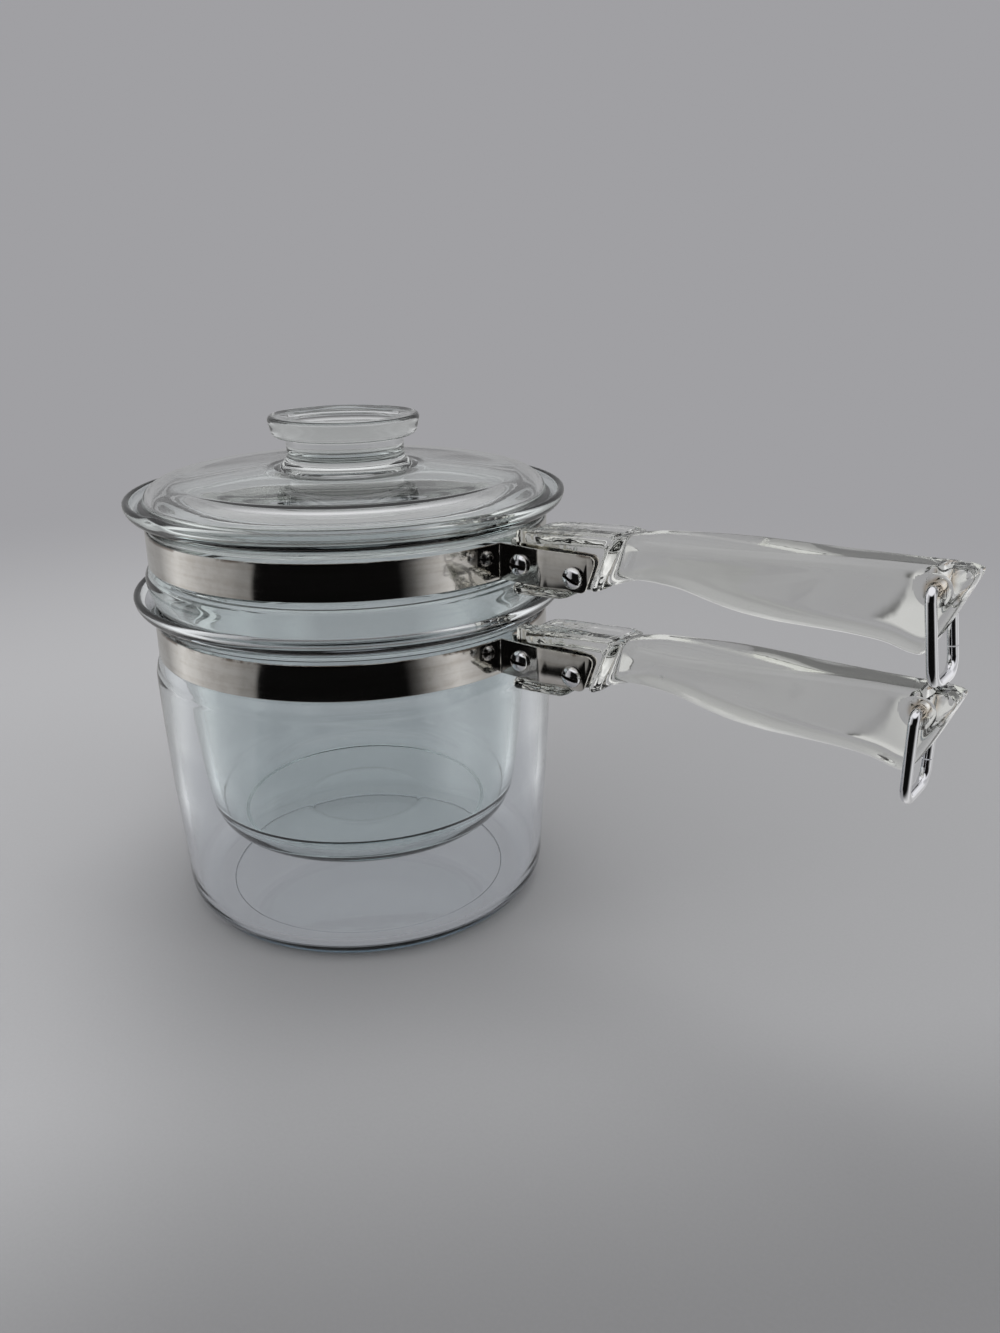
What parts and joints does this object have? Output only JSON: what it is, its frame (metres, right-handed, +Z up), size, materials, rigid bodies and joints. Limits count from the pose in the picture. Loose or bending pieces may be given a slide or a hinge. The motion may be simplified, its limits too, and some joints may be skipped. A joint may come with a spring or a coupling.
{
  "type": "double boiler",
  "caption": "Glass double boiler: saucepan, nested upper pan and knobbed lid, with steel neck bands, screwed glass handles and wire hanging rings.",
  "frame": {"origin": "centre of the lower pan's foot, in the plane it stands on", "axes": "+X along both handles, away from the pans; +Z up along the pans' axis; +Y to the side where the screws' nuts are"},
  "size_m": [0.3074, 0.162, 0.1876],
  "materials": {
    "pan_glass": "polished",
    "handle_glass": "polished",
    "band_steel": "brushed",
    "screw_chrome": "polished",
    "ring_chrome": "polished"
  },
  "bodies": {
    "lower": {"lower_pan": "pan_glass", "lower_band": "band_steel", "lower_handle": "handle_glass", "lower_clamp_screw": "screw_chrome", "lower_handle_screw": "screw_chrome", "lower_clamp_nut": "screw_chrome", "lower_handle_nut": "screw_chrome"},
    "upper": {"upper_pan": "pan_glass", "upper_band": "band_steel", "upper_handle": "handle_glass", "upper_clamp_screw": "screw_chrome", "upper_handle_screw": "screw_chrome", "upper_clamp_nut": "screw_chrome", "upper_handle_nut": "screw_chrome"},
    "cover": {"lid": "pan_glass"},
    "lower_hanger": {"lower_ring": "ring_chrome"},
    "upper_hanger": {"upper_ring": "ring_chrome"}
  },
  "joints": [
    {"name": "upper_lift", "type": "slide", "parent": "lower", "child": "upper", "axis": [0, 0, 1], "range_m": [0, 0.11]},
    {"name": "lid_lift", "type": "slide", "parent": "upper", "child": "cover", "axis": [0, 0, 1], "range_m": [0, 0.05]},
    {"name": "lower_ring_swing", "type": "hinge", "parent": "lower", "child": "lower_hanger", "pos_m": [0.2172, 0, 0.1235], "axis": [0, -1, 0], "range_deg": [-42, 138]},
    {"name": "upper_ring_swing", "type": "hinge", "parent": "upper", "child": "upper_hanger", "pos_m": [0.2172, 0, 0.1576], "axis": [0, -1, 0], "range_deg": [-50, 235]}
  ]
}
